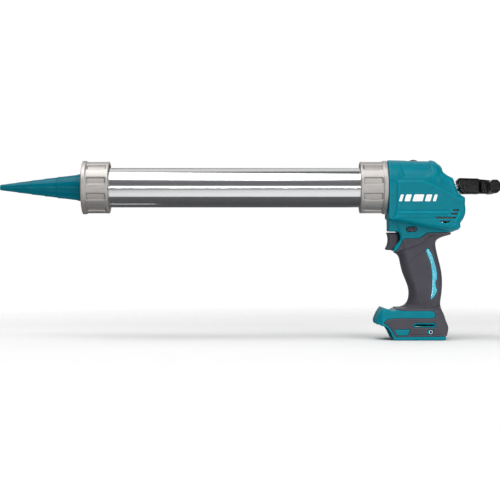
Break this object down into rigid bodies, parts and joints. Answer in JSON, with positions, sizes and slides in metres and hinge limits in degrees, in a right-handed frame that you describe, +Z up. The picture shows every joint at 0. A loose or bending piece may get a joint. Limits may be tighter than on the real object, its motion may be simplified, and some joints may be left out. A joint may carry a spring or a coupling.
{
  "type": "caulking gun",
  "caption": "Cordless caulking gun with a tube holder, two screw rings, cone nozzle, rack-driven push rod with T handle, trigger grip and slide-on battery foot.",
  "frame": {"origin": "middle of the battery rail, in the plane of the foot's underside", "axes": "+X back along the push rod, nozzle along -X; +Z up; +Y to the tool's right"},
  "size_m": [0.674, 0.0746, 0.2433],
  "materials": {
    "teal_housing": "satin moulded, fine spark texture",
    "teal_nozzle": "semi-gloss moulded",
    "grey_overmould": "matt soft-touch",
    "dark_plastic": "satin moulded",
    "black_plastic": "gloss moulded",
    "cast_ring": "sand-cast satin",
    "barrel_aluminium": "polished",
    "rod_steel": "zinc plated",
    "gear_steel": "machined",
    "case_aluminium": "die cast",
    "screw_steel": "black zinc",
    "brass": "machined",
    "bronze_bush": "sintered",
    "white_acetal": "machined",
    "circuit_board": "satin lacquer",
    "magnet": "matt ferrite",
    "copper_winding": "enamelled wire",
    "red_wire": "satin",
    "black_wire": "satin"
  },
  "bodies": {
    "housing": {"front_adapter": "case_aluminium", "adapter_screws": "screw_steel", "rod_bush_front": "bronze_bush", "rod_bush_rear": "bronze_bush", "housing_left": "teal_housing", "housing_right": "teal_housing", "grip_left": "grey_overmould", "grip_right": "grey_overmould", "housing_screws": "screw_steel", "hook_insert_left": "rod_steel", "hook_insert_right": "rod_steel", "trigger_spring": "gear_steel", "trigger_switch": "black_plastic", "dial_board": "circuit_board", "controller_board": "circuit_board", "terminal_block": "black_plastic", "terminal_blades": "brass", "supply_wires": "red_wire", "motor_wires": "black_wire", "motor_can": "gear_steel", "motor_magnets": "magnet", "motor_endbell": "black_plastic", "ring_gear": "gear_steel", "bearing_left": "gear_steel", "bearing_right": "gear_steel", "gear_case": "case_aluminium", "gear_cover": "black_plastic", "gear_case_screws": "screw_steel", "motor_screws": "screw_steel"},
    "holder": {"holder_tube": "barrel_aluminium", "thread_sleeve_front": "case_aluminium", "thread_sleeve_rear": "case_aluminium"},
    "nozzle": {"nozzle": "teal_nozzle"},
    "front_ring": {"front_ring": "cast_ring"},
    "rear_ring": {"rear_ring": "cast_ring"},
    "rod": {"rod": "rod_steel", "piston": "white_acetal", "piston_plate": "gear_steel", "piston_screw": "gear_steel", "rod_handle": "black_plastic", "handle_pin": "screw_steel"},
    "trigger": {"trigger": "dark_plastic"},
    "lock_off_button": {"lock_off_button": "dark_plastic"},
    "speed_dial": {"speed_dial": "dark_plastic"},
    "motor_rotor": {"motor_rotor": "copper_winding", "motor_pinion": "gear_steel"},
    "planet_carrier": {"planet_carrier": "gear_steel"},
    "planet_a": {"planet_gear_a": "gear_steel"},
    "planet_b": {"planet_gear_b": "gear_steel"},
    "planet_c": {"planet_gear_c": "gear_steel"},
    "output_gear": {"output_gear": "gear_steel"},
    "output_shaft": {"output_shaft": "gear_steel", "friction_disc": "bronze_bush", "clutch_spring": "gear_steel", "clutch_nut": "gear_steel"}
  },
  "joints": [
    {"name": "trigger_pull", "type": "slide", "parent": "housing", "child": "trigger", "axis": [1, 0, 0], "range_m": [0, 0.006], "stiffness_N_per_m": 600, "springref_m": -0.004, "deforming": ["trigger_spring"]},
    {"name": "lock_off_push", "type": "slide", "parent": "housing", "child": "lock_off_button", "axis": [0, 1, 0], "range_m": [0, 0.004]},
    {"name": "speed_dial_turn", "type": "hinge", "parent": "housing", "child": "speed_dial", "pos_m": [-0.009, 0, 0.2333], "axis": [0, 1, 0], "range_deg": [-130, 130]},
    {"name": "rod_slide", "type": "slide", "parent": "housing", "child": "rod", "axis": [1, 0, 0], "range_m": [0, 0.37]},
    {"name": "output_shaft_spin", "type": "hinge", "parent": "housing", "child": "output_shaft", "pos_m": [0.0047, 0, 0.19105], "axis": [0, 1, 0], "continuous": true},
    {"name": "motor_spin", "type": "hinge", "parent": "housing", "child": "motor_rotor", "pos_m": [0.0338, 0, 0.1791], "axis": [0, 1, 0], "continuous": true},
    {"name": "carrier_spin", "type": "hinge", "parent": "housing", "child": "planet_carrier", "pos_m": [0.0338, 0, 0.1791], "axis": [0, 1, 0], "continuous": true},
    {"name": "planet_a_spin", "type": "hinge", "parent": "planet_carrier", "child": "planet_a", "pos_m": [0.0338, 0, 0.1881], "axis": [0, 1, 0], "continuous": true},
    {"name": "planet_b_spin", "type": "hinge", "parent": "planet_carrier", "child": "planet_b", "pos_m": [0.02601, 0, 0.1746], "axis": [0, 1, 0], "continuous": true},
    {"name": "planet_c_spin", "type": "hinge", "parent": "planet_carrier", "child": "planet_c", "pos_m": [0.04159, 0, 0.1746], "axis": [0, 1, 0], "continuous": true},
    {"name": "output_gear_spin", "type": "hinge", "parent": "housing", "child": "output_gear", "pos_m": [0.0047, 0, 0.19105], "axis": [0, 1, 0], "continuous": true},
    {"name": "rear_ring_turn", "type": "hinge", "parent": "housing", "child": "rear_ring", "pos_m": [-0.06, 0, 0.2055], "axis": [1, 0, 0], "range_deg": [0, 1590]},
    {"name": "holder_off", "type": "slide", "parent": "housing", "child": "holder", "axis": [-1, 0, 0], "range_m": [0, 0.0265]},
    {"name": "nozzle_off", "type": "slide", "parent": "holder", "child": "nozzle", "axis": [-1, 0, 0], "range_m": [0, 0.0275]},
    {"name": "front_ring_turn", "type": "hinge", "parent": "nozzle", "child": "front_ring", "pos_m": [-0.44, 0, 0.2055], "axis": [-1, 0, 0], "range_deg": [0, 1650]}
  ],
  "couplings": [
    {"joint": "output_shaft_spin", "follows": "rod_slide", "rad_per_m": 88.889},
    {"joint": "carrier_spin", "follows": "motor_spin", "ratio": 0.2},
    {"joint": "output_gear_spin", "follows": "motor_spin", "ratio": -0.052},
    {"joint": "holder_off", "follows": "rear_ring_turn", "m_per_rad": 0.00095493},
    {"joint": "nozzle_off", "follows": "front_ring_turn", "m_per_rad": 0.00095493},
    {"joint": "planet_a_spin", "follows": "motor_spin", "ratio": -0.53333},
    {"joint": "planet_b_spin", "follows": "motor_spin", "ratio": -0.53333},
    {"joint": "planet_c_spin", "follows": "motor_spin", "ratio": -0.53333}
  ]
}
